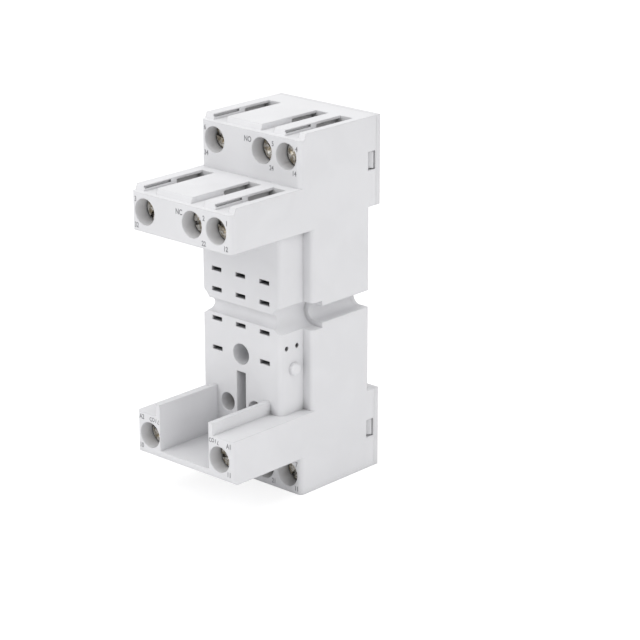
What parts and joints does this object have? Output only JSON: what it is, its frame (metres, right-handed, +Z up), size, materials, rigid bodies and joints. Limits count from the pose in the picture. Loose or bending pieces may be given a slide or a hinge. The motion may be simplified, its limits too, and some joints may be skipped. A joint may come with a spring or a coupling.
{
  "type": "relay socket",
  "caption": "Upright plug-in relay socket with stepped tiers of screw terminals, a slotted relay seat, a module bay and a sprung rail latch.",
  "frame": {"origin": "centre of the footprint box, on the plane the socket stands on", "axes": "+Z up along the height, -Y out of the terminals and the relay seat, +Y into the mounting rail, +X to the right seen from the front"},
  "size_m": [0.027, 0.043, 0.075],
  "materials": {
    "housing_plastic": "satin moulded",
    "base_plastic": "satin moulded",
    "latch_plastic": "satin moulded",
    "spring_steel": "drawn",
    "screw_steel": "zinc plated",
    "clamp_steel": "zinc plated",
    "contact_brass": "tinned"
  },
  "bodies": {
    "socket": {"housing": "housing_plastic", "base_plate": "base_plastic", "latch_spring": "spring_steel", "no1_contact": "contact_brass", "no2_contact": "contact_brass", "no3_contact": "contact_brass", "nc1_contact": "contact_brass", "nc2_contact": "contact_brass", "nc3_contact": "contact_brass", "com1_contact": "contact_brass", "com2_contact": "contact_brass", "com3_contact": "contact_brass", "a1_contact": "contact_brass", "a2_contact": "contact_brass"},
    "rail_latch": {"rail_latch": "latch_plastic"},
    "no1_screw": {"no1_screw": "screw_steel"},
    "no1_clamp": {"no1_clamp": "clamp_steel"},
    "no2_screw": {"no2_screw": "screw_steel"},
    "no2_clamp": {"no2_clamp": "clamp_steel"},
    "no3_screw": {"no3_screw": "screw_steel"},
    "no3_clamp": {"no3_clamp": "clamp_steel"},
    "nc1_screw": {"nc1_screw": "screw_steel"},
    "nc1_clamp": {"nc1_clamp": "clamp_steel"},
    "nc2_screw": {"nc2_screw": "screw_steel"},
    "nc2_clamp": {"nc2_clamp": "clamp_steel"},
    "nc3_screw": {"nc3_screw": "screw_steel"},
    "nc3_clamp": {"nc3_clamp": "clamp_steel"},
    "com1_screw": {"com1_screw": "screw_steel"},
    "com1_clamp": {"com1_clamp": "clamp_steel"},
    "com2_screw": {"com2_screw": "screw_steel"},
    "com2_clamp": {"com2_clamp": "clamp_steel"},
    "com3_screw": {"com3_screw": "screw_steel"},
    "com3_clamp": {"com3_clamp": "clamp_steel"},
    "a1_screw": {"a1_screw": "screw_steel"},
    "a1_clamp": {"a1_clamp": "clamp_steel"},
    "a2_screw": {"a2_screw": "screw_steel"},
    "a2_clamp": {"a2_clamp": "clamp_steel"}
  },
  "joints": [
    {"name": "rail_latch_slide", "type": "slide", "parent": "socket", "child": "rail_latch", "axis": [0, 0, -1], "range_m": [0, 0.0026], "stiffness_N_per_m": 2000, "springref_m": -0.002, "deforming": ["latch_spring"]},
    {"name": "no1_screw_turn", "type": "hinge", "parent": "socket", "child": "no1_screw", "pos_m": [-0.00975, 0.0008, 0.07015], "axis": [0, 1, 0], "range_deg": [0, 2235]},
    {"name": "no1_clamp_slide", "type": "slide", "parent": "socket", "child": "no1_clamp", "axis": [0, -1, 0], "range_m": [0, 0.0031]},
    {"name": "no2_screw_turn", "type": "hinge", "parent": "socket", "child": "no2_screw", "pos_m": [0.00325, 0.0008, 0.07015], "axis": [0, 1, 0], "range_deg": [0, 2235]},
    {"name": "no2_clamp_slide", "type": "slide", "parent": "socket", "child": "no2_clamp", "axis": [0, -1, 0], "range_m": [0, 0.0031]},
    {"name": "no3_screw_turn", "type": "hinge", "parent": "socket", "child": "no3_screw", "pos_m": [0.00975, 0.0008, 0.07015], "axis": [0, 1, 0], "range_deg": [0, 2235]},
    {"name": "no3_clamp_slide", "type": "slide", "parent": "socket", "child": "no3_clamp", "axis": [0, -1, 0], "range_m": [0, 0.0031]},
    {"name": "nc1_screw_turn", "type": "hinge", "parent": "socket", "child": "nc1_screw", "pos_m": [-0.00975, -0.0187, 0.05935], "axis": [0, 1, 0], "range_deg": [0, 2235]},
    {"name": "nc1_clamp_slide", "type": "slide", "parent": "socket", "child": "nc1_clamp", "axis": [0, -1, 0], "range_m": [0, 0.0031]},
    {"name": "nc2_screw_turn", "type": "hinge", "parent": "socket", "child": "nc2_screw", "pos_m": [0.00325, -0.0187, 0.05935], "axis": [0, 1, 0], "range_deg": [0, 2235]},
    {"name": "nc2_clamp_slide", "type": "slide", "parent": "socket", "child": "nc2_clamp", "axis": [0, -1, 0], "range_m": [0, 0.0031]},
    {"name": "nc3_screw_turn", "type": "hinge", "parent": "socket", "child": "nc3_screw", "pos_m": [0.00975, -0.0187, 0.05935], "axis": [0, 1, 0], "range_deg": [0, 2235]},
    {"name": "nc3_clamp_slide", "type": "slide", "parent": "socket", "child": "nc3_clamp", "axis": [0, -1, 0], "range_m": [0, 0.0031]},
    {"name": "com1_screw_turn", "type": "hinge", "parent": "socket", "child": "com1_screw", "pos_m": [-0.00975, 0.0008, 0.0039], "axis": [0, 1, 0], "range_deg": [0, 2235]},
    {"name": "com1_clamp_slide", "type": "slide", "parent": "socket", "child": "com1_clamp", "axis": [0, -1, 0], "range_m": [0, 0.0031]},
    {"name": "com2_screw_turn", "type": "hinge", "parent": "socket", "child": "com2_screw", "pos_m": [0.00325, 0.0008, 0.0039], "axis": [0, 1, 0], "range_deg": [0, 2235]},
    {"name": "com2_clamp_slide", "type": "slide", "parent": "socket", "child": "com2_clamp", "axis": [0, -1, 0], "range_m": [0, 0.0031]},
    {"name": "com3_screw_turn", "type": "hinge", "parent": "socket", "child": "com3_screw", "pos_m": [0.00975, 0.0008, 0.0039], "axis": [0, 1, 0], "range_deg": [0, 2235]},
    {"name": "com3_clamp_slide", "type": "slide", "parent": "socket", "child": "com3_clamp", "axis": [0, -1, 0], "range_m": [0, 0.0031]},
    {"name": "a1_screw_turn", "type": "hinge", "parent": "socket", "child": "a1_screw", "pos_m": [0.00975, -0.0187, 0.0127], "axis": [0, 1, 0], "range_deg": [0, 2235]},
    {"name": "a1_clamp_slide", "type": "slide", "parent": "socket", "child": "a1_clamp", "axis": [0, -1, 0], "range_m": [0, 0.0031]},
    {"name": "a2_screw_turn", "type": "hinge", "parent": "socket", "child": "a2_screw", "pos_m": [-0.00975, -0.0187, 0.0127], "axis": [0, 1, 0], "range_deg": [0, 2235]},
    {"name": "a2_clamp_slide", "type": "slide", "parent": "socket", "child": "a2_clamp", "axis": [0, -1, 0], "range_m": [0, 0.0031]}
  ],
  "couplings": [
    {"joint": "no1_screw_turn", "follows": "no1_clamp_slide", "rad_per_m": 12566},
    {"joint": "no2_screw_turn", "follows": "no2_clamp_slide", "rad_per_m": 12566},
    {"joint": "no3_screw_turn", "follows": "no3_clamp_slide", "rad_per_m": 12566},
    {"joint": "nc1_screw_turn", "follows": "nc1_clamp_slide", "rad_per_m": 12566},
    {"joint": "nc2_screw_turn", "follows": "nc2_clamp_slide", "rad_per_m": 12566},
    {"joint": "nc3_screw_turn", "follows": "nc3_clamp_slide", "rad_per_m": 12566},
    {"joint": "com1_screw_turn", "follows": "com1_clamp_slide", "rad_per_m": 12566},
    {"joint": "com2_screw_turn", "follows": "com2_clamp_slide", "rad_per_m": 12566},
    {"joint": "com3_screw_turn", "follows": "com3_clamp_slide", "rad_per_m": 12566},
    {"joint": "a1_screw_turn", "follows": "a1_clamp_slide", "rad_per_m": 12566},
    {"joint": "a2_screw_turn", "follows": "a2_clamp_slide", "rad_per_m": 12566}
  ]
}
